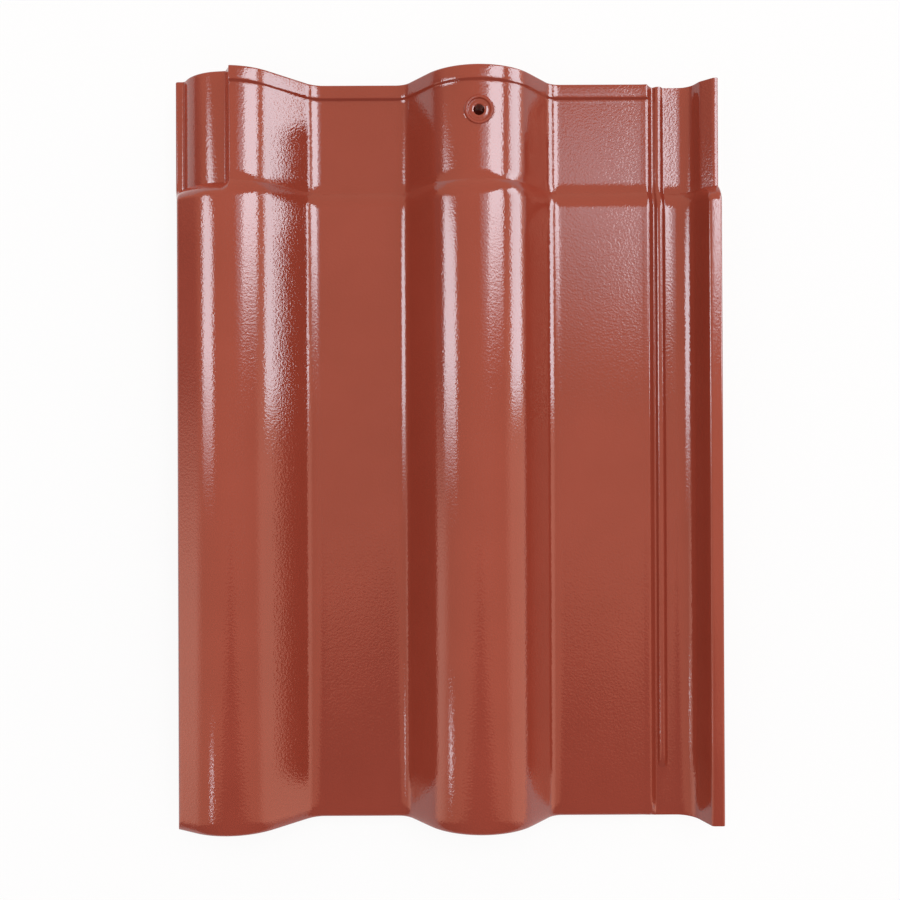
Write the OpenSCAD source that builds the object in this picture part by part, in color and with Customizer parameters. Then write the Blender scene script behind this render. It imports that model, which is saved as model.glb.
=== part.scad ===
// Interlocking double roman roof tile of glazed clay, pressed and fired as one piece.
// X runs across the tile, Y from the foot to the head, Z up. It lies on its four claws, right side up.

/* [Body] */
// Length from the foot to the head
tile_len = 400; // [380:1:420]
// Width from the skirt to the raised edge
tile_w = 293; // [288:1:306]
// Thickness of the fired body
body_t = 9.5; // [8:0.5:11]
// Length of the rounded front edge
nose_len = 8; // [4:0.5:12]
// Height of the rounding of the front edge
nose_drop = 3; // [2:0.5:5.5]

/* [Rolls] */
// Height of the rolls above the pans
roll_h = 30; // [26:0.5:33]
// Distance between the two crests
roll_pitch = 132; // [129:0.5:135]
// Distance of the first crest from the skirt's edge
crest_in = 32; // [30:0.5:35]
// Radius of the crests
crest_r = 34; // [30:1:36]
// Slope of the flanks
flank_a = 52; // [48:1:57]
// Radius where a flank runs into a pan
pan_r = 10; // [6:1:13]

/* [Skirt] */
// Slope of the first roll towards the skirt
eave_a = 30; // [24:1:36]
// Lean of the skirt from upright
skirt_a = 15; // [8:1:18]
// Rounding between the roll and the skirt
skirt_r = 4; // [2:0.5:6]
// Height of the skirt's lower edge above the pans
skirt_z = 1; // [0:0.5:4]

/* [Channel] */
// Depth of the water channel below the pans
chan_d = 2.5; // [1.5:0.5:3]
// Width of the channel's floor
chan_w = 11; // [9:0.5:13]
// Width of the water bar with the groove beside it
bar_w = 6.5; // [5.5:0.5:8]
// Height of the water bar above the channel
bar_h = 2.6; // [1:0.1:3]
// Distance of the water bar's end from the foot
bar_end = 26; // [18:1:40]
// Height of the raised edge above the pans
edge_h = 16; // [12:0.5:18]
// Width of the raised edge's flat top
edge_w = 6; // [4:0.5:8]
// Slope of the face that rises from the channel
rise_a = 58; // [52:1:66]

/* [Head] */
// Length of the head that the next course covers
lap_len = 59; // [50:1:75]
// Length of the shoulder's ramp
ramp_len = 10; // [6:1:14]
// Step down from the body to the head
head_d = 4; // [3:0.5:5]
// Width of the raised lip along the head
lip_w = 7; // [4:0.5:9]
// Height of the lip
lip_h = 1.25; // [0.75:0.25:2.5]
// Distance that the channel stops short of the head
chan_back = 1; // [0.5:0.5:4]
// Step down of the raised edge at the head, beyond that of the pans
edge_step = 3.5; // [0:0.5:5]
// Widening of the channel at the head
chan_more = 3; // [0:0.5:3.5]
// Slope of the raised edge's face above its crease at the head
crease_a = 38; // [30:1:46]
// Depth of the corner rebate below the crest
rebate_d = 7; // [5:0.5:8]
// Slope of the rebate's floor towards its wall
rebate_a = 14; // [8:1:18]
// Distance of the rebate's wall beyond the crest
wall_in = 2; // [1:0.5:4]
// Width of the flange along the rebate
flange_w = 5; // [4:0.5:6]
// Height of the flange above the head's pans
flange_h = 7.5; // [6:0.5:9]
// Thickness of the arch in the rebate
arch_t = 7; // [6:0.5:8]

/* [Nail hole] */
// Diameter of the hole
nail_d = 5.8; // [4.5:0.1:7]
// Distance of the hole from the head
nail_in = 23.5; // [18:0.5:34]
// Diameter over the rim around the hole
rim_d = 15.6; // [13:0.2:18]
// Width of the rim
rim_w = 1.6; // [1.2:0.1:2]
// Height of the rim above the crest
rim_h = 0.6; // [0.4:0.1:1.2]
// Depth of the dish inside the rim
dish_d = 1.1; // [0.8:0.1:1.6]

/* [Claws] */
// Height of the front claws
claw_h = 10; // [9:0.5:14]
// Width of the claws
claw_w = 26; // [18:1:36]
// Length of the claws
claw_len = 13; // [10:1:18]
// Distance of the rear claws' bearing faces from the head
batten_in = 34; // [30:1:38]

/* [Hidden] */
$fn = 64;
glaze = "#a04e40";

left_x = -tile_w / 2;
right_x = tile_w / 2;
foot_y = -tile_len / 2;
head_y = tile_len / 2;
ramp_y = head_y - lap_len;
crest_a_x = left_x + crest_in;
crest_b_x = crest_a_x + roll_pitch;
pan_z = claw_h + body_t;
lap_gap = 3;

// A roll's flanks run to their own feet on the pan and to a point above the crest
roll_c = roll_h - crest_r;
flank_foot = crest_r * sin(flank_a) + (roll_c + crest_r * cos(flank_a)) / tan(flank_a);
flank_top = roll_c + crest_r / cos(flank_a);

// The channel is set out from the raised edge inward
rise_top_x = right_x - edge_w;
rise_foot_x = rise_top_x - (edge_h + chan_d) / tan(rise_a);
rise_foot = [rise_foot_x, -chan_d];
rise_top = [rise_top_x, edge_h];
bar_foot_x = rise_foot_x - chan_w;
groove_w = 1;
groove_run = 1.6;
groove_r = 0.6;
groove_x = bar_foot_x - bar_w;
bar_x = bar_foot_x - (bar_w - groove_w) / 2;
pan_edge_x = groove_x - groove_run;
bar_top = 2;
bar_r = 1.4;
bar_round = 5;
bar_trace = 0.02;
head_groove = 0.7 * chan_d;
head_bar = 0.2 * chan_d;

// At the head the raised edge is lower, and its face eases off at a crease
head_foot = [rise_foot_x + chan_more, -head_d - chan_d];
head_edge_w = 2.6;
head_edge = [right_x - head_edge_w, edge_h - edge_step - head_d];
rise_n = [-sin(rise_a), cos(rise_a)];
crease_n = [-sin(crease_a), cos(crease_a)];
crease = meet(rise_n, rise_n * head_foot, crease_n, crease_n * head_edge);

// The skirt's line and the first roll's slope meet at the skirt's corner
crest_a = crest_corner(eave_a);
skirt_foot = [left_x, skirt_z];
eave_n = [-sin(eave_a), cos(eave_a)];
skirt_n = [-cos(skirt_a), sin(skirt_a)];
skirt_top = meet(eave_n, eave_n * crest_a, skirt_n, skirt_n * skirt_foot);
eave_run = [crest_a_x, roll_c] + crest_r * eave_n - skirt_top;

// The rebate at the head's corner drops the first roll to an arch that ends on a flange
arch_a = 58;
flange_z = flange_h - head_d;
rebate_z = roll_h - head_d - rebate_d;
wall_top_x = crest_a_x + wall_in;
wall_run = 2.6;
wall_x = wall_top_x - wall_run;
wall_flat = 1.5;
wall_a = asin((wall_in + wall_flat) / crest_r);
wall_top_z = roll_c - head_d + crest_r * cos(wall_a) + wall_flat * tan(wall_a);
arch_n = [-sin(arch_a), cos(arch_a)];
rebate_n = [-sin(rebate_a), cos(rebate_a)];
arch_d = arch_n * [left_x + flange_w, flange_z];
rebate_floor = rebate_n * [wall_x, rebate_z];
arch_top = meet(arch_n, arch_d, rebate_n, rebate_floor);
arch_under = meet(arch_n, arch_d - arch_t, rebate_n, rebate_floor - arch_t);
arch_under_z = rebate_z - arch_t / cos(rebate_a);

// Corner above the first crest, between a slope a on its left and the flank on its right
function crest_corner(a) =
    let (dir = 90 + (a - flank_a) / 2)
    [crest_a_x, roll_c] + crest_r / cos((a + flank_a) / 2) * [cos(dir), sin(dir)];

// Point where the lines n1.p = d1 and n2.p = d2 cross
function meet(n1, d1, n2, d2) =
    let (det = n1.x * n2.y - n1.y * n2.x)
    [(d1 * n2.y - d2 * n1.y) / det, (n1.x * d2 - n2.x * d1) / det];

function unit(v) = v / norm(v);

// Corner p between a and b, rounded with radius r in n steps; on a straight run, n steps along it
function bend(a, p, b, r, n) =
    let (
        u = unit(a - p),
        v = unit(b - p),
        half = acos(max(-1, min(1, u * v))) / 2
    )
    half > 89
        ? [for (i = [0:n]) p + (i / n - 0.5) * 0.8 * v]
        : let (
            c = p + unit(u + v) * r / sin(half),
            from = p + u * r / tan(half) - c,
            a0 = atan2(from.y, from.x),
            turn = (180 - 2 * half) * sign(u.y * v.x - u.x * v.y)
        )
        [for (i = [0:n]) c + r * [cos(a0 + turn * i / n), sin(a0 + turn * i / n)]];

// Line through corners given as [x, z, radius, steps], whose two ends stay sharp
function rounded(q) = [
    for (i = [0:len(q) - 1])
        let (p = [q[i][0], q[i][1]])
        each i == 0 || i == len(q) - 1
            ? [p]
            : bend([q[i - 1][0], q[i - 1][1]], p, [q[i + 1][0], q[i + 1][1]], q[i][2], q[i][3])
];

// The same corners set down by d, measured square to each face
function set_down(q, d) = [
    for (i = [0:len(q) - 1])
        let (
            p = [q[i][0], q[i][1]],
            before = i == 0 ? p : [q[i - 1][0], q[i - 1][1]],
            after = i == len(q) - 1 ? p : [q[i + 1][0], q[i + 1][1]],
            t1 = i == 0 ? unit(after - p) : unit(p - before),
            t2 = i == len(q) - 1 ? t1 : unit(after - p),
            n1 = [t1.y, -t1.x],
            n2 = [t2.y, -t2.x],
            shift = d * (n1 + n2) / (1 + n1 * n2),
            hollow = t1.x * t2.y - t1.y * t2.x > 0
        )
        [p.x + shift.x, p.y + shift.y, max(2, hollow ? q[i][2] + d : q[i][2] - d), q[i][3]]
];

// Corners shared by the body and the head, between the first crest and the channel; z is the pan's level
function rolls(z) = [
    [crest_a_x + flank_foot, z, pan_r, 6],
    [crest_b_x - flank_foot, z, pan_r, 6],
    [crest_b_x, z + flank_top, crest_r, 18],
    [crest_b_x + flank_foot, z, pan_r, 6]
];

// Corners of the channel's far side: foot, crease and top of the face, then the outer corner
function raised_edge(foot, crease, top, r) = [
    [foot.x, foot.y, 2.5, 3],
    [crease.x, crease.y, 3, 3],
    [top.x, top.y, r, 3],
    [right_x, top.y, r * 0.75, 3]
];

// Upper face of the body: skirt, first roll, pan, second roll, pan, water bar, channel, raised edge
body_left = [
    [skirt_foot.x, skirt_foot.y, 0, 0],
    [(skirt_foot.x + skirt_top.x) / 2, (skirt_foot.y + skirt_top.y) / 2, 1, 2],
    [skirt_top.x, skirt_top.y, skirt_r, 5],
    [skirt_top.x + eave_run.x * 0.5, skirt_top.y + eave_run.y * 0.5, 1, 5],
    [skirt_top.x + eave_run.x * 0.68, skirt_top.y + eave_run.y * 0.68, 1, 2],
    [skirt_top.x + eave_run.x * 0.86, skirt_top.y + eave_run.y * 0.86, 1, 2],
    [crest_a.x, crest_a.y, crest_r, 14]
];
function body_top(bar) = concat(
    body_left,
    rolls(0),
    [
        [pan_edge_x, 0, 1, 2],
        [groove_x, -chan_d, groove_r, 1],
        [groove_x + groove_w, -chan_d, groove_r, 1],
        [bar_x - bar_top / 2, -chan_d + bar_h * bar, bar_r, 3],
        [bar_x + bar_top / 2, -chan_d + bar_h * bar, bar_r, 3],
        [bar_foot_x, -chan_d, 1, 2]
    ],
    raised_edge(rise_foot, (rise_foot + rise_top) / 2, rise_top, 2),
    [[right_x, edge_h - body_t, 0, 0]]
);

// Upper face of the head: flange, rebated arch, wall up to the crest, then as the body
head_left = [
    [left_x, skirt_z - head_d, 0, 0],
    [left_x, flange_z, 1.5, 2],
    [left_x + flange_w, flange_z, 3, 5],
    [arch_top.x, arch_top.y, 13, 5],
    [wall_x, rebate_z, 1, 2],
    [wall_top_x, wall_top_z, 0.8, 2],
    [crest_corner(-wall_a).x, crest_corner(-wall_a).y - head_d, crest_r, 14]
];
head_top = concat(
    head_left,
    rolls(-head_d),
    [
        [pan_edge_x, -head_d, 1, 2],
        [groove_x, -head_d - head_groove, groove_r, 1],
        [groove_x + groove_w, -head_d - head_groove, groove_r, 1],
        [bar_x - bar_top / 2, -head_d - head_bar, bar_r, 3],
        [bar_x + bar_top / 2, -head_d - head_bar, bar_r, 3],
        [bar_foot_x, -head_d - chan_d, 1, 2]
    ],
    raised_edge(head_foot, crease, head_edge, 1.5),
    [[right_x, head_edge.y - body_t, 0, 0]]
);

// Form that the underside follows at the body's thickness
function form(left, z, foot_x, edge_z) = concat(
    left,
    rolls(z),
    [
        [pan_edge_x, z, 1, 2],
        [bar_x, z, 1, 2],
        [foot_x - chan_d / tan(rise_a) / 2, z, 3, 3],
        [rise_top_x, edge_z, 2, 3],
        [right_x, edge_z, 0, 0]
    ]
);
body_form = form([body_left[0], body_left[2], body_left[4], body_left[6]], 0, rise_foot_x, edge_h);
head_form = form([[crest_a_x, flank_top - head_d, crest_r, 14]], -head_d, head_foot.x, head_edge.y);

// Underside of the rebated corner, down to the flange
head_corner = [
    [arch_under.x - (arch_under.y - skirt_z + head_d) / tan(arch_a), skirt_z - head_d, 0, 0],
    [arch_under.x, arch_under.y, 6, 5],
    [wall_x, arch_under_z, 1, 2],
    [
        crest_a_x + flank_foot - body_t / sin(flank_a) - (arch_under_z + head_d) / tan(flank_a),
        arch_under_z,
        10,
        14
    ]
];
body_under = rounded(set_down(body_form, body_t));
head_under = rounded(concat(head_corner, [for (i = [1:9]) set_down(head_form, body_t)[i]]));

// Upper line of the tile: share of the head's form, drop of the nose, share of the bar, rise of the lip.
// The corner below the raised edge is left to the lower line.
function upper(share, drop, bar, lip) =
    let (
        a = rounded(body_top(bar)),
        b = rounded(head_top)
    )
    [
        for (i = [0:len(a) - 2])
            let (
                p = a[i] * (1 - share) + b[i] * share,
                lipped = p.x > wall_top_x - 0.5 && p.x < pan_edge_x + 0.4,
                faced = i > 3
            )
            p + [0, (lipped ? lip : 0) - (faced ? drop : 0)]
    ];

// Lower line, from left to right
function lower(share) = body_under * (1 - share) + head_under * share;

// Stations along the tile: y, upper line and lower line. The shoulder is soft at the body's side and
// sharp at the head's, and the head's upper edge is rounded.
ramp_steps = 6;
lip_run = 1.5;
head_round = 1;
stations = concat(
    [
        for (i = [0:5])
            let (drop = nose_drop * (1 - sin(18 * i)))
            [foot_y + nose_len * (1 - cos(18 * i)), upper(0, drop, bar_trace, 0), lower(0)]
    ],
    [
        for (i = [0:3])
            let (bar = bar_trace + (1 - bar_trace) * sin(30 * i))
            [foot_y + bar_end + bar_round * (1 - cos(30 * i)), upper(0, 0, bar, 0), lower(0)]
    ],
    [
        for (i = [0:ramp_steps])
            let (
                t = i / ramp_steps,
                s = t * t
            )
            [ramp_y - ramp_len * (1 - t), upper(s, 0, 1, 0), lower(s)]
    ],
    [
        [head_y - lip_w - lip_run, upper(1, 0, 1, 0), lower(1)],
        [head_y - lip_w, upper(1, 0, 1, lip_h), lower(1)],
        for (i = [0:2])
            let (a = 45 * i)
            [
                head_y - head_round * (1 - sin(a)),
                upper(1, head_round * (1 - cos(a)), 1, lip_h),
                lower(1)
            ]
    ]
);

// Triangles that close one end between its upper line a and its lower line b, from points i and j on,
// in order from left to right
function end_face(a, b, i = 0, j = 0) =
    let (
        last = len(a) + len(b) - 1,
        more_a = i < len(a) - 1,
        more_b = j < len(b) - 1,
        over = more_a && (!more_b || a[i + 1].x <= b[j + 1].x)
    )
    over
        ? concat([[i, i + 1, last - j]], end_face(a, b, i + 1, j))
        : more_b
            ? concat([[i, last - j - 1, last - j]], end_face(a, b, i, j + 1))
            : [];

// Solid through all stations
module shell() {
    rings = [for (s = stations) concat(s[1], [for (i = [len(s[2]) - 1:-1:0]) s[2][i]])];
    n = len(rings[0]);
    m = len(rings);
    foot = end_face(stations[0][1], stations[0][2]);
    head = end_face(stations[m - 1][1], stations[m - 1][2]);
    polyhedron(
        points = [for (j = [0:m - 1]) for (p = rings[j]) [p.x, stations[j][0], p.y]],
        faces = concat(
            foot,
            [for (f = head) [for (i = [2:-1:0]) (m - 1) * n + f[i]]],
            [
                for (j = [0:m - 2])
                    for (i = [0:n - 1])
                        let (k = (i + 1) % n)
                        each [
                            [j * n + i, (j + 1) * n + i, (j + 1) * n + k],
                            [j * n + i, (j + 1) * n + k, j * n + k]
                        ]
            ]
        )
    );
}

// Claw under a pan, upright on its side towards the foot and sloped on the other
module claw(h) {
    translate([-claw_w / 2, 0, 0])
        rotate([90, 0, 90])
            linear_extrude(claw_w)
                polygon([[0, 0], [claw_len - h / 4, 0], [claw_len + 1, h + 4], [0, h + 4]]);
}

// The one fired piece
module roof_tile() {
    nail_z = pan_z - head_d + roll_h;
    color(glaze)
        difference() {
            union() {
                translate([0, 0, pan_z]) shell();
                for (side = [-1, 1]) {
                    x = crest_b_x + side * roll_pitch / 2;
                    translate([x, head_y - batten_in, 0]) claw(claw_h - head_d);
                    translate([x, foot_y + lap_len + lap_gap, 0]) claw(claw_h);
                }
                translate([crest_b_x, head_y - nail_in, nail_z - body_t / 2])
                    cylinder(d = rim_d, h = body_t / 2 + rim_h);
            }
            translate([crest_b_x, head_y - nail_in, nail_z + rim_h - dish_d])
                cylinder(d1 = rim_d - 2 * rim_w - dish_d, d2 = rim_d - 2 * rim_w, h = dish_d + 0.01);
            translate([crest_b_x, head_y - nail_in, nail_z - 2 * body_t])
                cylinder(d = nail_d, h = 3 * body_t);
            translate([pan_edge_x + 1, head_y - chan_back, -1])
                cube([tile_w, chan_back + 1, claw_h + 2 * body_t + roll_h]);
        }
}

roof_tile();
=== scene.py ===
import math

import bpy
import numpy as np
from mathutils import Matrix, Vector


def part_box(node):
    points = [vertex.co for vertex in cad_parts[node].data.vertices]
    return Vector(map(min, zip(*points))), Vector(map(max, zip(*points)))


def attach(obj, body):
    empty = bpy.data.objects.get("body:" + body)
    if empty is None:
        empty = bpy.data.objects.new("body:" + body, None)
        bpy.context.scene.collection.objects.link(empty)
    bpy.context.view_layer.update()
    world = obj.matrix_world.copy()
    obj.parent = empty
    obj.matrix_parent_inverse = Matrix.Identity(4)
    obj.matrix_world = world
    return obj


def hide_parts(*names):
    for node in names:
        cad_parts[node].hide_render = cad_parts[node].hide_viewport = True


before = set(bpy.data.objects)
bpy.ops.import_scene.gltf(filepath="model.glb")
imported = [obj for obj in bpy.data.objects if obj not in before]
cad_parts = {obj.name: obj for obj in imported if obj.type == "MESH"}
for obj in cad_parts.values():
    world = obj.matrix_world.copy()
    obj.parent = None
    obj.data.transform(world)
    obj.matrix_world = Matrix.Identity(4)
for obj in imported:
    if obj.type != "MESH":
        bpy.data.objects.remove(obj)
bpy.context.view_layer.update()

# Roof tile
# One slab of clay, pressed between two moulds while soft, sprayed with red glaze from above and fired.
# Two rolls lead the water into the pans; skirt, channel and stepped head lock it to its neighbours,
# and four claws below hook it over the battens.
MM = 0.001
low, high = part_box("roof_tile")
left_x, right_x = low.x / MM, high.x / MM
foot_y, head_y = low.y / MM, high.y / MM

body_t, claw_h = 9.5, 10.0
pan_z = claw_h + body_t
roll_h, roll_pitch, crest_r, pan_r = 30.0, 132.0, 34.0, 10.0
flank_a, crest_in = math.radians(52), 32.0
crest_a_x = left_x + crest_in
crest_b_x = crest_a_x + roll_pitch
roll_c = roll_h - crest_r
flank_foot = crest_r * math.sin(flank_a) + (roll_c + crest_r * math.cos(flank_a)) / math.tan(flank_a)
flank_top = roll_c + crest_r / math.cos(flank_a)
nose_len, nose_drop = 8.0, 3.0


def rounded(corners):
    """Line through corners (x, z, radius) whose bends are arcs; the two ends stay sharp."""
    points = [np.array(corners[0][:2], float)]
    for before, corner, after in zip(corners, corners[1:], corners[2:]):
        p, r = np.array(corner[:2], float), corner[2]
        u, v = np.array(before[:2]) - p, np.array(after[:2]) - p
        u, v = u / np.hypot(*u), v / np.hypot(*v)
        half = math.acos(np.clip(u @ v, -1, 1)) / 2
        centre = p + (u + v) / np.hypot(*(u + v)) * r / math.sin(half)
        start, end = (p + w * r / math.tan(half) - centre for w in (u, v))
        a, b = math.atan2(start[1], start[0]), math.atan2(end[1], end[0])
        turn = (b - a + math.pi) % (2 * math.pi) - math.pi
        steps = max(2, round(abs(turn) / math.radians(2)))
        angles = a + turn * np.arange(steps + 1) / steps
        points += [centre + r * np.array([math.cos(t), math.sin(t)]) for t in angles]
    points.append(np.array(corners[-1][:2], float))
    x, z = np.array(points).T
    return np.maximum.accumulate(x + 1e-6 * np.arange(len(x))), z


def face(slope, point, depth=0.0):
    """Straight face of a section through a point, or set back by a depth, as normal and distance."""
    normal = np.array([-math.sin(slope), math.cos(slope)])
    return normal, normal @ np.array(point) - depth


def meet(one, other):
    """Point where two faces of a section cross."""
    return tuple(np.linalg.solve([one[0], other[0]], [one[1], other[1]]))


def crest_corner(slope, r):
    """Corner above the first crest, between a slope on its left and the flank on its right."""
    turn = math.pi / 2 + (slope - flank_a) / 2
    reach = r / math.cos((slope + flank_a) / 2)
    return crest_a_x + reach * math.cos(turn), roll_c + reach * math.sin(turn)


def rolls(z, depth=0.0):
    """The first roll's foot, the second roll and its feet, at the pans' level z and set down by a depth."""
    foot = flank_foot - depth * (1 / math.sin(flank_a) - 1 / math.tan(flank_a))
    return [
        (crest_a_x + foot, z - depth, pan_r + depth),
        (crest_b_x - foot, z - depth, pan_r + depth),
        (crest_b_x, z + flank_top - depth / math.cos(flank_a), crest_r - depth),
        (crest_b_x + foot, z - depth, pan_r + depth),
    ]


# Right side: the pan's edge with its bead, a groove, the round water bar, the channel and the raised edge
edge_h, edge_w, rise_a = 16.0, 6.0, math.radians(58)
chan_d, chan_w, chan_back = 2.5, 11.0, 1.0
bar_w, bar_slope, bar_r, bar_half, bar_right = 6.5, math.radians(56), 2.4, 2.7, 1.7
groove_w, groove_r = 0.9, 0.7
bead_w, bead_h, bead_r, bead_in, bead_foot_r = 3.4, 0.4, 2.5, 1.0, 4.0
rise_top_x = right_x - edge_w
rise_foot_x = rise_top_x - (edge_h + chan_d) / math.tan(rise_a)
bar_foot_x = rise_foot_x - chan_w
bar_x = bar_foot_x + bar_right - bar_half
groove_end_x = bar_x - bar_half
pan_edge_x = bar_foot_x - bar_w - bead_in
bar_in, bar_round = 26.0, 5.0
bar_end = foot_y + bar_in
side_h, side_in, chan_foot_r = 3.0, 0.1, 1.4
rise_in, rise_r, rise_lean = 3.4, 12.0, 0.8

head_d, head_edge_w, crease_a, edge_step, chan_more = 4.0, 2.6, math.radians(43), 3.5, 3.0
head_rise_in, head_rise_r = 2.0, 9.0
head_edge_z = edge_h - edge_step - head_d
head_foot = (rise_foot_x + chan_more, -head_d - chan_d)
crease = meet(face(rise_a, head_foot), face(crease_a, (right_x - head_edge_w, head_edge_z)))
body_edge = [
    (rise_foot_x + rise_in, -chan_d, rise_r),
    (rise_top_x - rise_lean, edge_h, 2.0),
    (right_x - side_in, edge_h, 1.4),
    (right_x, edge_h - side_h, 0),
]
head_edge = [
    (head_foot[0] + head_rise_in, head_foot[1], head_rise_r),
    (*crease, 3.0),
    (right_x - head_edge_w, head_edge_z, 1.5),
    (right_x - side_in, head_edge_z, 1.1),
    (right_x, head_edge_z - side_h, 0),
]


def channel(z, groove, bar, edge):
    """Corners from the pan's edge to the raised edge, for a depth of the groove and a share of the
    bar's height."""
    return [
        (pan_edge_x - bead_w, z, bead_foot_r),
        (pan_edge_x, z + bead_h, bead_r),
        (groove_end_x - groove_w, z - groove, groove_r),
        (groove_end_x, z - groove, groove_r),
        (bar_x, z - groove + bar * bar_half * math.tan(bar_slope), bar_r),
        (bar_x + bar_half, z - chan_d, chan_foot_r),
        *edge,
    ]


# Left side: the first roll leans down to a skirt on the body, and to a rebate and a flange on the head
eave_a, skirt_a, skirt_z, skirt_r = math.radians(30), math.radians(15), 1.0, 4.0
crest_a = crest_corner(eave_a, crest_r)
skirt_foot = (left_x, skirt_z)
skirt_top = meet(face(eave_a, crest_a), face(math.pi / 2 - skirt_a, skirt_foot))
eave_low = crest_a[1] - (crest_a[0] - left_x) * math.tan(eave_a)

arch_a, rebate_a, arch_t = math.radians(58), math.radians(14), 7.0
arch_lean, arch_r, rebate_d = math.radians(6), 27.0, 7.0
flange_w, flange_h = 5.0, 7.5
flange_z, rebate_z = flange_h - head_d, roll_h - head_d - rebate_d
wall_in, wall_run, wall_flat = 2.0, 3.4, 1.5
wall_top_x = crest_a_x + wall_in
wall_x = wall_top_x - wall_run
wall_a = math.asin((wall_in + wall_flat) / crest_r)
wall_top_z = roll_c - head_d + crest_r * math.cos(wall_a) + wall_flat * math.tan(wall_a)
flange_corner, wall_foot = (left_x + flange_w, flange_z), (wall_x, rebate_z)
arch_top = meet(face(arch_a, flange_corner), face(arch_lean, wall_foot))
arch_under = meet(face(arch_a, flange_corner, arch_t), face(rebate_a, wall_foot, arch_t))

# The first roll's right flank is a little gentler than the others, turned about a point at its middle
gentle_x, gentle_z, gentle_foot_r = crest_a_x + 31.9, 10.4, 13.0
body_gentle_a, body_gentle_r = math.radians(46), 31.9
head_gentle_a, head_gentle_r = math.radians(45), 28.5
body_flank = face(-body_gentle_a, (gentle_x, gentle_z))
body_crest = meet(face(eave_a, crest_a), body_flank)
body_flank_foot = meet(body_flank, face(0, (0, 0)))
head_flank = face(-head_gentle_a, (gentle_x, gentle_z - head_d))
head_crest = meet(face(-wall_a, (crest_a_x, roll_c - head_d), -crest_r), head_flank)
head_flank_foot = meet(head_flank, face(0, (0, -head_d)))

# Sections of the upper face in heights above the pans: the body with and without its bar, the body's
# roll carried on over the skirt for the front edge, and the head with its lower bar and shallower groove
no_bar, head_bar, head_groove = 0.01, 0.6, 0.7 * chan_d
body_rolls = [(*body_crest, body_gentle_r), (*body_flank_foot, gentle_foot_r)] + rolls(0)[1:]
body_right = body_rolls + channel(0, chan_d, 1.0, body_edge)
plain_right = body_rolls + channel(0, chan_d, no_bar, body_edge)
skirt = [(*skirt_foot, 0), (*skirt_top, skirt_r)]
body_barred = rounded(skirt + body_right)
body_plain = rounded(skirt + plain_right)
body_eave = rounded([(left_x, eave_low, 0)] + plain_right)
head_line = rounded(
    [
        (left_x, skirt_z - head_d, 0),
        (left_x + side_in, flange_z, 1.4),
        (*flange_corner, 3),
        (*arch_top, arch_r),
        (*wall_foot, 1),
        (wall_top_x, wall_top_z, 0.8),
        (*head_crest, head_gentle_r),
        (*head_flank_foot, gentle_foot_r),
    ]
    + rolls(-head_d)[1:]
    + channel(-head_d, head_groove, head_bar, head_edge)
)


def under_right(z, foot_x, edge_z):
    """Underside from the first pan to the raised edge, at the pans' level z."""
    foot_x -= chan_d / math.tan(rise_a) / 2
    shift = body_t * math.tan(math.atan2(edge_z - z, rise_top_x - foot_x) / 2)
    return rolls(z, body_t) + [
        (foot_x + shift, z - body_t, 3 + body_t),
        (rise_top_x + shift, edge_z - body_t, 2),
        (right_x, edge_z - body_t, 0),
    ]


# Sections of the underside: the same form at the body's thickness, a thinner arch below the rebate
inner_crest = crest_corner(eave_a, crest_r - body_t)
inner_skirt = face(math.pi / 2 - skirt_a, skirt_foot, body_t)
under_foot = (left_x + body_t * math.cos(skirt_a), skirt_z - body_t * math.sin(skirt_a))
body_under = rounded(
    [
        (*under_foot, 0),
        (*meet(face(eave_a, inner_crest), inner_skirt), 2),
        (*inner_crest, crest_r - body_t),
    ]
    + under_right(0, rise_foot_x, edge_h)
)
arch_under_z = rebate_z - arch_t / math.cos(rebate_a)
inner_flank_x = crest_a_x + flank_foot - body_t / math.sin(flank_a)
inner_flank_x -= (arch_under_z + head_d) / math.tan(flank_a)
head_under = rounded(
    [
        (arch_under[0] - (arch_under[1] - skirt_z + head_d) / math.tan(arch_a), skirt_z - head_d, 0),
        (*arch_under, 6),
        (wall_x, arch_under_z, 1),
        (inner_flank_x, arch_under_z, 10),
    ]
    + under_right(-head_d, head_foot[0], head_edge_z)
)

# Four claws below the pans: upright towards the foot, sloped towards the head
claw_w, claw_len, claw_draft, claw_back = 26.0, 13.0, 6.0, 3.0
front_claw_in, batten_in = 62.0, 34.0
front_claw_y, rear_claw_y = foot_y + front_claw_in, head_y - batten_in
claw_spots = [
    (crest_b_x + side * roll_pitch / 2, y)
    for side in (-1, 1)
    for y in (front_claw_y, rear_claw_y)
]


def claws(x, y):
    """Height of the claws' surface above the floor; far up where there is none."""
    best = np.full(np.broadcast(x, y).shape, 100.0)
    for cx, cy in claw_spots:
        sides = claw_draft * (np.abs(x - cx) - claw_w / 2)
        front = claw_draft * 2 * (cy - y)
        back = claw_back * (y - cy - claw_len + 2.5)
        best = np.minimum(best, np.maximum(np.maximum(sides, front), np.maximum(back, 0)))
    return best


# Columns crowd where a line bends, and lie evenly in the square around the nail hole.
# Upper face and underside share them, drawn together a little under the skirt.
nail_in, nail_r = 23.5, 2.9
nail_x, nail_y = crest_b_x, head_y - nail_in
cell, nail_cells, ring_cells, hole_cells = 0.55, 24, 16, 5
reach = nail_cells * cell


def drawn_in(x):
    """Place on the underside below a place on the upper face."""
    ratio = (crest_a_x - under_foot[0]) / (crest_a_x - left_x)
    return np.where(x < crest_a_x, crest_a_x + (x - crest_a_x) * ratio, x)


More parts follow.
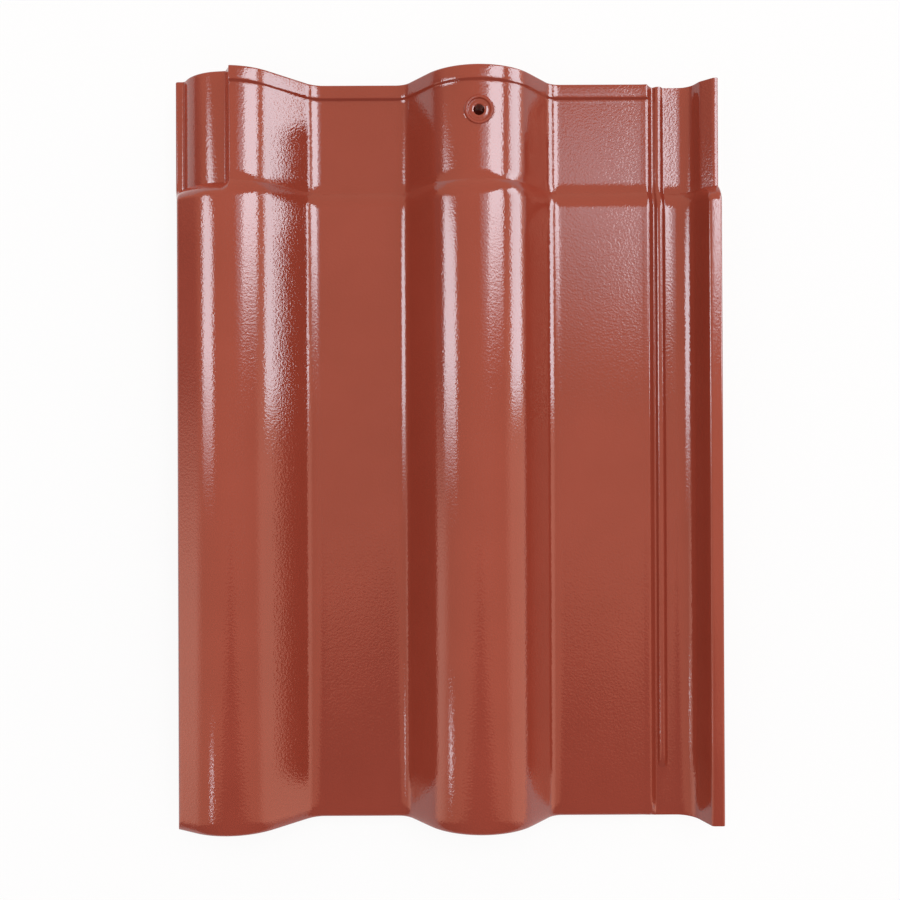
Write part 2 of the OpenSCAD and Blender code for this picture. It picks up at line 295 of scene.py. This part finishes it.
def columns(span):
    """Places along a span, at most a step and each line's own turn apart."""
    x = np.linspace(*span, 12000)
    window = np.ones(25) / 25
    need = np.zeros_like(x)
    for line, turn in lines:
        slope = np.gradient(line(x), x)
        bend = np.convolve(np.abs(np.gradient(np.arctan(slope), x)), window, "same")
        need = np.maximum(need, np.hypot(1, slope) / max_step + bend / turn)
    count = np.concatenate([[0], np.cumsum((need[1:] + need[:-1]) / 2 * np.diff(x))])
    return np.interp(np.linspace(0, count[-1], math.ceil(count[-1]) + 1), count, x)


def head_below(x):
    """Underside of the head through its claws, in heights above the pans."""
    return np.minimum(np.interp(drawn_in(x), *head_under), claws(drawn_in(x), rear_claw_y + 4) - pan_z)


max_step, upper_turn, under_turn = 4.5, math.radians(8), math.radians(16)
lines = [
    (lambda x: np.interp(x, *body_barred), upper_turn),
    (lambda x: np.interp(x, *head_line), upper_turn),
    (lambda x: np.interp(drawn_in(x), *body_under), under_turn),
    (head_below, under_turn),
]
even = cell * np.arange(-nail_cells, nail_cells + 1)
upper_x = np.concatenate(
    [
        columns((left_x, nail_x - reach))[:-1],
        nail_x + even,
        columns((nail_x + reach, right_x))[1:],
    ]
)

# Rows run from the foot to the head
lap_len, ramp_len = 59.0, 10.0
ramp_end = head_y - lap_len
ramp_start = ramp_end - ramp_len
lip_w, lip_h, lip_run, head_round = 7.0, 1.25, 1.5, 1.0
quarter = np.linspace(0, math.pi / 2, 9)
rows = np.concatenate(
    [
        foot_y + nose_len * (1 - np.cos(quarter)),
        np.linspace(foot_y + nose_len, bar_end, 4),
        bar_end + bar_round * (1 - np.cos(quarter)),
        np.arange(bar_end + 12, ramp_start - 4, 10.0),
        front_claw_y + np.array([-1.5, -0.8, 0, 10.5, 13.8]),
        np.linspace(ramp_start, ramp_end, 15),
        np.linspace(ramp_end, nail_y - reach, 5),
        nail_y + even,
        head_y - lip_w - np.linspace(lip_run, 0, 6),
        np.array([head_y - 5, head_y - 3]),
        head_y - head_round * (1 - np.sin(quarter)),
    ]
)
rows = np.unique(np.round(rows, 4))


def smooth(start, end, value):
    """0 before the start, 1 after the end, and a soft ramp between."""
    t = np.clip((value - start) / (end - start), 0, 1)
    return t * t * (3 - 2 * t)


def plan(x_line):
    """Places of one face's points: columns by rows, bent to circles around the nail hole,
    with the channel set back at the head."""
    x, y = np.meshgrid(x_line, rows)
    shift = smooth(head_y - 30, head_y, y) * smooth(pan_edge_x + 0.6, pan_edge_x + 1.4, x)
    u, v = (x - nail_x) / cell, (y - nail_y) / cell
    ring = np.maximum(np.abs(u), np.abs(v))
    inside = (ring < nail_cells + 0.5) & (ring > 0)
    square = smooth(ring_cells, nail_cells, ring)
    scale = ring / np.maximum(np.hypot(u, v), 1e-9) * (1 - square) + square
    scale *= 1 + (nail_r / cell / hole_cells - 1) * (1 - smooth(hole_cells, ring_cells, ring))
    x = np.where(inside, nail_x + u * cell * scale, x)
    y = np.where(inside, nail_y + v * cell * scale, y)
    return x, y - chan_back * shift, np.round(ring)


# Upper face: body and head joined by the shoulder, which is soft above and sharp below
x, y, ring = plan(upper_x)
share = np.clip((y - ramp_start) / (ramp_end - ramp_start), 0, 1) ** 2
bar = smooth(bar_end, bar_end + bar_round, y) ** 0.6
plain = np.interp(x, *body_plain)
body = plain + bar * (np.interp(x, *body_barred) - plain)
ahead = 1 - np.clip((y - foot_y) / nose_len, 0, 1)
chan_drop, drop_run = 0.1, 3.0
drop_share = 1 - (1 - chan_drop) * smooth(pan_edge_x, pan_edge_x + drop_run, x)
drop = nose_drop * (1 - np.sqrt(1 - ahead**2)) * drop_share
body = np.where(ahead > 0, np.minimum(body, np.interp(x, *body_eave) - drop), body)
head = np.interp(x, *head_line)
lip = smooth(head_y - lip_w - lip_run, head_y - lip_w, y)
lip *= smooth(wall_top_x - 0.6, wall_top_x, x) * (1 - smooth(pan_edge_x, pan_edge_x + 0.8, x))
over = np.clip(y - head_y + head_round, 0, head_round)
upper_z = pan_z + body * (1 - share) + head * share + lip_h * lip
upper_z -= head_round - np.sqrt(head_round**2 - over**2)

# Nail hole: a raised rim, a flat dish inside it and a low collar at the hole
rim_r, rim_w, rim_h, dish_d = 7.8, 1.6, 0.6, 1.1
collar_r, collar_h = 4.0, 0.3
crest_level = pan_z + roll_h - head_d
floor_level = crest_level + rim_h - dish_d
rim_line = rounded(
    [
        (nail_r - 0.2, floor_level - 0.2, 0),
        (nail_r + 0.3, floor_level + collar_h, 0.2),
        (collar_r, floor_level + collar_h, 0.4),
        (collar_r + 0.7, floor_level, 0.4),
        (rim_r - rim_w - dish_d / 2, floor_level, 0.3),
        (rim_r - rim_w, crest_level + rim_h, 0.4),
        (rim_r - 0.3, crest_level + rim_h, 0.6),
        (rim_r + 0.6, crest_level - 4, 0),
    ]
)
r = np.hypot(x - nail_x, y - nail_y)
rim = np.interp(r, *rim_line)
soft = 0.12
standing = soft * np.logaddexp(upper_z / soft, rim / soft)
upper_z = np.where(r < rim_r - rim_w / 2, rim, np.where(r < rim_r + 0.6, standing, upper_z))
upper = np.stack([x, y, upper_z], -1)

# Underside, with the claws hanging from it
x, y, _ = plan(drawn_in(upper_x))
share = np.clip((y - ramp_start) / (ramp_end - ramp_start), 0, 1) ** 2
lower_z = pan_z + np.interp(x, *body_under) * (1 - share) + np.interp(x, *head_under) * share
lower = np.stack([x, y, np.minimum(lower_z, claws(x, y))], -1)

# One closed skin: upper face, hole, both ends, both sides and underside
n_rows, n_cols = ring.shape
points = np.concatenate([upper.reshape(-1, 3), lower.reshape(-1, 3)]) * MM
index = np.arange(n_rows * n_cols).reshape(n_rows, n_cols)
below = index + n_rows * n_cols


def quads(a, b, c, d):
    return np.stack([a.ravel(), b.ravel(), c.ravel(), d.ravel()], -1)


corner_rings = [ring[:-1, :-1], ring[:-1, 1:], ring[1:, :-1], ring[1:, 1:]]
kept = (np.maximum.reduce(corner_rings) > hole_cells).ravel()
skin = quads(index[:-1, :-1], index[:-1, 1:], index[1:, 1:], index[1:, :-1])[kept]
base = quads(below[:-1, :-1], below[1:, :-1], below[1:, 1:], below[:-1, 1:])[kept]
foot_end = quads(index[0, :-1], below[0, :-1], below[0, 1:], index[0, 1:])
head_end = quads(index[-1, :-1], index[-1, 1:], below[-1, 1:], below[-1, :-1])
left_side = quads(index[:-1, 0], index[1:, 0], below[1:, 0], below[:-1, 0])
right_side = quads(index[:-1, -1], below[:-1, -1], below[1:, -1], index[1:, -1])

row = int(np.argmin(np.abs(rows - nail_y)))
col = int(np.argmin(np.abs(upper_x - nail_x)))
steps = range(-hole_cells, hole_cells)
loop = [index[row - hole_cells, col + k] for k in steps]
loop += [index[row + k, col + hole_cells] for k in steps]
loop += [index[row + hole_cells, col - k] for k in steps]
loop += [index[row - k, col - hole_cells] for k in steps]
loop = np.array(loop)
after = np.roll(loop, -1)
bore = quads(loop, after, after + n_rows * n_cols, loop + n_rows * n_cols)

faces = np.concatenate([skin, bore, foot_end, head_end, left_side, right_side, base])
mesh = bpy.data.meshes.new("roof_tile_glazed")
mesh.from_pydata(points.tolist(), [], faces.tolist())
bare = np.zeros(len(faces), dtype=np.int32)
bare[len(faces) - len(base):] = 1
mesh.polygons.foreach_set("material_index", bare)
mesh.polygons.foreach_set("use_smooth", np.ones(len(faces), dtype=bool))
mesh.set_sharp_from_angle(angle=math.radians(42))
mesh.validate()
tile = bpy.data.objects.new("roof_tile_glazed", mesh)
bpy.context.scene.collection.objects.link(tile)


def linear(code):
    """Linear colour of an sRGB hex value."""
    parts = [int(code[i:i + 2], 16) / 255 for i in (1, 3, 5)]
    return tuple(c / 12.92 if c <= 0.04045 else ((c + 0.055) / 1.055) ** 2.4 for c in parts) + (1.0,)


def add(tree, kind, inputs=(), **properties):
    """Adds a node. Inputs are pairs of a name or number and a value or the socket that feeds it."""
    node = tree.nodes.new(kind)
    for name, value in properties.items():
        setattr(node, name, value)
    for key, value in inputs:
        if isinstance(value, bpy.types.NodeSocket):
            tree.links.new(value, node.inputs[key])
        else:
            node.inputs[key].default_value = value
    return node


# Glazed clay: a red glaze fired on the pressed clay, about 0.2 mm thick and glossy.
# The eye sees sharp, slightly ragged lights, because the melt froze with a fine orange-peel ripple.
glaze = bpy.data.materials.new("red_glaze_on_clay")
glaze.use_nodes = True
tree = glaze.node_tree
shader = tree.nodes["Principled BSDF"]
shader.inputs["Roughness"].default_value = 0.06
shader.inputs["IOR"].default_value = 1.55
place = add(tree, "ShaderNodeTexCoord").outputs["Object"]
peel_mm, peel_depth, cloud_mm = 1.2, 0.085, 45.0
peel = add(
    tree,
    "ShaderNodeTexNoise",
    [("Vector", place), ("Scale", 1 / (peel_mm * MM)), ("Detail", 2.0), ("Roughness", 0.5)],
)
peel_bump = add(
    tree,
    "ShaderNodeBump",
    [("Height", peel.outputs["Fac"]), ("Strength", 1.0), ("Distance", peel_depth * MM)],
)
tree.links.new(peel_bump.outputs["Normal"], shader.inputs["Normal"])
cloud = add(
    tree,
    "ShaderNodeTexNoise",
    [("Vector", place), ("Scale", 1 / (cloud_mm * MM)), ("Detail", 3.0)],
)
tone = add(tree, "ShaderNodeValToRGB", [("Fac", cloud.outputs["Fac"])])
tone.color_ramp.elements[0].position, tone.color_ramp.elements[0].color = 0.3, linear("#893a2b")
tone.color_ramp.elements[1].position, tone.color_ramp.elements[1].color = 0.7, linear("#8f3e2f")
tree.links.new(tone.outputs["Color"], shader.inputs["Base Color"])

# Fired clay: the bare body below, dry and matt, with the fine grit of the press mould.
# The eye sees a soft terracotta without any shine.
clay = bpy.data.materials.new("bare_fired_clay")
clay.use_nodes = True
tree = clay.node_tree
shader = tree.nodes["Principled BSDF"]
shader.inputs["Roughness"].default_value = 0.9
place = add(tree, "ShaderNodeTexCoord").outputs["Object"]
grit_mm, grit_depth, patch_mm = 0.8, 0.12, 25.0
grit = add(
    tree,
    "ShaderNodeTexNoise",
    [("Vector", place), ("Scale", 1 / (grit_mm * MM)), ("Detail", 3.0)],
)
grit_bump = add(
    tree,
    "ShaderNodeBump",
    [("Height", grit.outputs["Fac"]), ("Strength", 1.0), ("Distance", grit_depth * MM)],
)
tree.links.new(grit_bump.outputs["Normal"], shader.inputs["Normal"])
patch = add(
    tree,
    "ShaderNodeTexNoise",
    [("Vector", place), ("Scale", 1 / (patch_mm * MM)), ("Detail", 4.0)],
)
tone = add(tree, "ShaderNodeValToRGB", [("Fac", patch.outputs["Fac"])])
tone.color_ramp.elements[0].position, tone.color_ramp.elements[0].color = 0.3, linear("#a45f45")
tone.color_ramp.elements[1].position, tone.color_ramp.elements[1].color = 0.7, linear("#b87355")
tree.links.new(tone.outputs["Color"], shader.inputs["Base Color"])

mesh.materials.append(glaze)
mesh.materials.append(clay)
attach(tile, "root")
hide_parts("roof_tile")

# Floor
# A sheet of white paper under the tile, which looks plain white and keeps a faint shadow of the tile.
# Below the tile it is paper in the dark, and a dark patch of painted shade lies where one looks down the
# nail hole.
floor_half = 3.0
paper_glow, shade_mm, footprint_in_x, footprint_in_y = 0.88, 14, 6, 3
# Painted shade: a dark disc on the paper, below and a little beyond the nail hole, so that the hole looks
# into shade
painted_shade_r, painted_shade_x, painted_shade_y = 18, nail_x + 1.2, nail_y + 14
floor_mesh = bpy.data.meshes.new("paper_floor")
floor_mesh.from_pydata(
    [(a * floor_half, b * floor_half, 0) for a, b in ((-1, -1), (1, -1), (1, 1), (-1, 1))],
    [],
    [(0, 1, 2, 3)],
)
floor = bpy.data.objects.new("paper_floor", floor_mesh)
bpy.context.scene.collection.objects.link(floor)
paper = bpy.data.materials.new("white_paper")
paper.use_nodes = True
tree = paper.node_tree
tree.nodes.clear()
rays = add(tree, "ShaderNodeLightPath")
coordinates = add(tree, "ShaderNodeTexCoord").outputs["Object"]
at = add(tree, "ShaderNodeSeparateXYZ", [(0, coordinates)])
glow = rays.outputs["Is Camera Ray"]
for kind in ("Is Glossy Ray", "Is Transmission Ray"):
    glow = add(tree, "ShaderNodeMath", [(0, glow), (1, rays.outputs[kind])], operation="MAXIMUM").outputs[0]
beyond = None
for axis, limit in (("X", right_x - footprint_in_x), ("Y", head_y - footprint_in_y)):
    far = add(tree, "ShaderNodeMath", [(0, at.outputs[axis])], operation="ABSOLUTE")
    far = add(
        tree,
        "ShaderNodeMapRange",
        [("Value", far.outputs[0]), ("From Min", (limit - shade_mm) * MM), ("From Max", limit * MM)],
        interpolation_type="SMOOTHSTEP",
    )
    if beyond is None:
        beyond = far
    else:
        pair = [(0, beyond.outputs[0]), (1, far.outputs[0])]
        beyond = add(tree, "ShaderNodeMath", pair, operation="MAXIMUM")
from_painted_shade = add(
    tree,
    "ShaderNodeVectorMath",
    [(0, coordinates), (1, (painted_shade_x * MM, painted_shade_y * MM, 0))],
    operation="DISTANCE",
)
off_painted_shade = add(
    tree,
    "ShaderNodeMath",
    [(0, from_painted_shade.outputs["Value"]), (1, painted_shade_r * MM)],
    operation="GREATER_THAN",
)
seen = add(tree, "ShaderNodeMath", [(0, glow), (1, beyond.outputs[0])], operation="MULTIPLY")
seen = add(tree, "ShaderNodeMath", [(0, seen.outputs[0]), (1, paper_glow)], operation="MULTIPLY")
seen = add(tree, "ShaderNodeMath", [(0, seen.outputs[0]), (1, off_painted_shade.outputs[0])], operation="MULTIPLY")
# Painted shade: inside the disc the paper is coloured dark red-brown and does not glow
shade = add(tree, "ShaderNodeValToRGB", [("Fac", off_painted_shade.outputs[0])])
shade.color_ramp.elements[0].color = linear("#4a1c16")
shade.color_ramp.elements[1].color = linear("#f0f0f0")
matt = add(tree, "ShaderNodeBsdfDiffuse", [("Color", shade.outputs["Color"])])
white = add(tree, "ShaderNodeEmission", [("Strength", 1.0)])
mix = add(tree, "ShaderNodeMixShader", [(0, seen.outputs[0]), (1, matt.outputs[0]), (2, white.outputs[0])])
add(tree, "ShaderNodeOutputMaterial", [("Surface", mix.outputs[0])])
floor_mesh.materials.append(paper)


# Softboxes
# White cloth boxes with lamps inside, on stands around the tile; their images are the lights on the glaze.
# Each fades towards its edges, and shows only in the first reflection, so it lights nothing else.
def softbox(name, centre, across, along, radiance, fade):
    """A glowing sheet at centre (mm), spanned by two arrows (mm); fade gives the soft share of its
    edges at the start and end of each arrow."""
    sheet = bpy.data.meshes.new(name)
    sheet.from_pydata(
        [(-0.5, -0.5, 0), (0.5, -0.5, 0), (0.5, 0.5, 0), (-0.5, 0.5, 0)],
        [],
        [(0, 1, 2, 3)],
    )
    box = bpy.data.objects.new(name, sheet)
    bpy.context.scene.collection.objects.link(box)
    turn = np.eye(4)
    turn[:3, 0], turn[:3, 1], turn[:3, 3] = (np.array(arrow) * MM for arrow in (across, along, centre))
    turn[:3, 2] = np.cross(turn[:3, 0], turn[:3, 1])
    box.matrix_world = Matrix(turn)
    cloth = bpy.data.materials.new(name)
    cloth.use_nodes = True
    tree = cloth.node_tree
    tree.nodes.clear()
    at = add(tree, "ShaderNodeSeparateXYZ", [(0, add(tree, "ShaderNodeTexCoord").outputs["Object"])])
    glow = None
    for axis, side, share in zip("XXYY", (-0.5, 0.5, -0.5, 0.5), fade):
        ramp = add(
            tree,
            "ShaderNodeMapRange",
            [("Value", at.outputs[axis]), ("From Min", side), ("From Max", side - 2 * side * share)],
            interpolation_type="SMOOTHSTEP",
        )
        if glow is None:
            glow = ramp
        else:
            pair = [(0, glow.outputs[0]), (1, ramp.outputs[0])]
            glow = add(tree, "ShaderNodeMath", pair, operation="MULTIPLY")
    depth = add(tree, "ShaderNodeLightPath").outputs["Ray Depth"]
    first_only = 1.5
    once = add(tree, "ShaderNodeMath", [(0, depth), (1, first_only)], operation="LESS_THAN")
    glow = add(tree, "ShaderNodeMath", [(0, glow.outputs[0]), (1, once.outputs[0])], operation="MULTIPLY")
    light = add(tree, "ShaderNodeEmission", [("Color", linear("#f2f6ff")), ("Strength", radiance)])
    clear = add(tree, "ShaderNodeBsdfTransparent")
    ends = [(0, glow.outputs[0]), (1, clear.outputs[0]), (2, light.outputs[0])]
    mix = add(tree, "ShaderNodeMixShader", ends)
    add(tree, "ShaderNodeOutputMaterial", [("Surface", mix.outputs[0])])
    sheet.materials.append(cloth)
    box.visible_camera = False
    box.visible_diffuse = False
    box.visible_shadow = False


softbox("top_box", (365, 385, 820), (-70, 160, 860), (0, 500, 0), 11.55, (0.03, 0.4, 0.36, 0.05))
softbox("top_board", (180, 370, 1000), (240, 0, 0), (0, 540, 0), 3.52, (0.6, 0.1, 0.62, 0.35))
softbox("side_box", (300, 212, 130), (0, 0, 136), (0, 375, 0), 9.9, (0.08, 0.05, 0.1, 0.05))
softbox("left_box", (-356, 125, 350), (-147, 0, 397), (0, 330, 0), 10.34, (0.08, 0.25, 0.4, 0.25))
softbox("front_box", (-250, -232, 215), (-25, 0, 60), (0, 78, 0), 10.45, (0.2, 0.2, 0.15, 0.6))

# Ceiling lamp
# A wide soft lamp high above the bench, which gives the even daylight on the tile.
lamp_data = bpy.data.lights.new("ceiling_lamp", "AREA")
lamp_data.size = 1.6
lamp_data.energy = 26.0
lamp = bpy.data.objects.new("ceiling_lamp", lamp_data)
lamp.location = (0.3, 0.4, 2.2)
lamp.rotation_euler = (math.radians(-9), math.radians(8), 0)
lamp.visible_glossy = False
bpy.context.scene.collection.objects.link(lamp)

# Room
# A studio that fills the shadows with white light. In the glaze it shows a warm ceiling, warm walls to the
# right and the front left, and the dark of the camera's stand and its two legs on the side of the foot.
stand_spread, horizon = 0.52, 0.2
ceiling_glow, fill_glow = 1.5, 0.6
world = bpy.data.worlds.new("studio")
bpy.context.scene.world = world
world.use_nodes = True
tree = world.node_tree
tree.nodes.clear()
rays = add(tree, "ShaderNodeLightPath")
toward = add(tree, "ShaderNodeSeparateXYZ", [(0, add(tree, "ShaderNodeTexCoord").outputs["Generated"])])
up = add(tree, "ShaderNodeMath", [(0, toward.outputs["Z"]), (1, horizon)], operation="MAXIMUM")
aside = add(tree, "ShaderNodeMath", [(0, toward.outputs["X"]), (1, up.outputs[0])], operation="DIVIDE")
aside = add(tree, "ShaderNodeMath", [(0, aside.outputs[0])], operation="ABSOLUTE")
onward = add(tree, "ShaderNodeMath", [(0, toward.outputs["Y"]), (1, up.outputs[0])], operation="DIVIDE")
stand = add(
    tree,
    "ShaderNodeMath",
    [(0, aside.outputs[0]), (1, stand_spread), (2, onward.outputs[0])],
    operation="MULTIPLY_ADD",
)
past_stand = add(
    tree,
    "ShaderNodeMapRange",
    [("Value", stand.outputs[0]), ("From Min", -0.15), ("From Max", -0.1)],
)
right_wall = add(
    tree,
    "ShaderNodeMapRange",
    [("Value", toward.outputs["X"]), ("From Min", 0.74), ("From Max", 0.86), ("To Max", 1.2)],
)
left_wall = add(
    tree,
    "ShaderNodeMapRange",
    [("Value", toward.outputs["X"]), ("From Min", -0.84), ("From Max", -0.94)],
)
left_tone = add(
    tree,
    "ShaderNodeMapRange",
    [("Value", toward.outputs["Y"]), ("From Min", 0.1), ("From Max", -0.1), ("To Max", 2.6)],
)
sides = add(
    tree,
    "ShaderNodeMath",
    [(0, left_wall.outputs[0]), (1, left_tone.outputs[0]), (2, right_wall.outputs[0])],
    operation="MULTIPLY_ADD",
)
clear = add(tree, "ShaderNodeMath", [(0, 1.0), (1, left_wall.outputs[0])], operation="SUBTRACT")
lit = add(tree, "ShaderNodeMath", [(0, past_stand.outputs[0]), (1, clear.outputs[0])], operation="MULTIPLY")
ceiling = add(tree, "ShaderNodeValToRGB", [("Fac", lit.outputs[0])])
ceiling.color_ramp.elements[0].color = linear("#615d5d")
ceiling.color_ramp.elements[1].color = linear("#ffb89e")
overhead = add(
    tree,
    "ShaderNodeBackground",
    [("Color", ceiling.outputs["Color"]), ("Strength", ceiling_glow)],
)
beside = add(tree, "ShaderNodeBackground", [("Color", linear("#ffc4ae")), ("Strength", sides.outputs[0])])
mirrored = add(tree, "ShaderNodeAddShader", [(0, overhead.outputs[0]), (1, beside.outputs[0])])
fill = add(tree, "ShaderNodeBackground", [("Color", linear("#ffffff")), ("Strength", fill_glow)])
white = add(tree, "ShaderNodeBackground", [("Color", linear("#ffffff")), ("Strength", 1.0)])
mix = add(
    tree,
    "ShaderNodeMixShader",
    [(0, rays.outputs["Is Diffuse Ray"]), (1, mirrored.outputs[0]), (2, fill.outputs[0])],
)
seen = add(
    tree,
    "ShaderNodeMath",
    [(0, rays.outputs["Is Camera Ray"]), (1, rays.outputs["Is Transmission Ray"])],
    operation="MAXIMUM",
)
mix = add(tree, "ShaderNodeMixShader", [(0, seen.outputs[0]), (1, mix.outputs[0]), (2, white.outputs[0])])
add(tree, "ShaderNodeOutputWorld", [("Surface", mix.outputs[0])])

# Camera
# It hangs straight above the tile, close by, so that the rolls lean outward at the edges of the picture.
picture_px, focal_px, sensor_mm, shift_px = 900, 1021, 36.0, 10.0
camera_x, camera_y, camera_z = 1.6, -7.6, 575.5
camera_data = bpy.data.cameras.new("camera")
camera_data.sensor_fit = "HORIZONTAL"
camera_data.sensor_width = sensor_mm
camera_data.lens = sensor_mm * focal_px / picture_px
camera = bpy.data.objects.new("camera", camera_data)
camera_data.shift_y = shift_px / picture_px
camera.location = (camera_x * MM, camera_y * MM, camera_z * MM)
camera.rotation_euler = (math.radians(0.2), 0, math.radians(-0.25))
bpy.context.scene.collection.objects.link(camera)
bpy.context.scene.camera = camera

bpy.context.scene.view_settings.view_transform = "Standard"
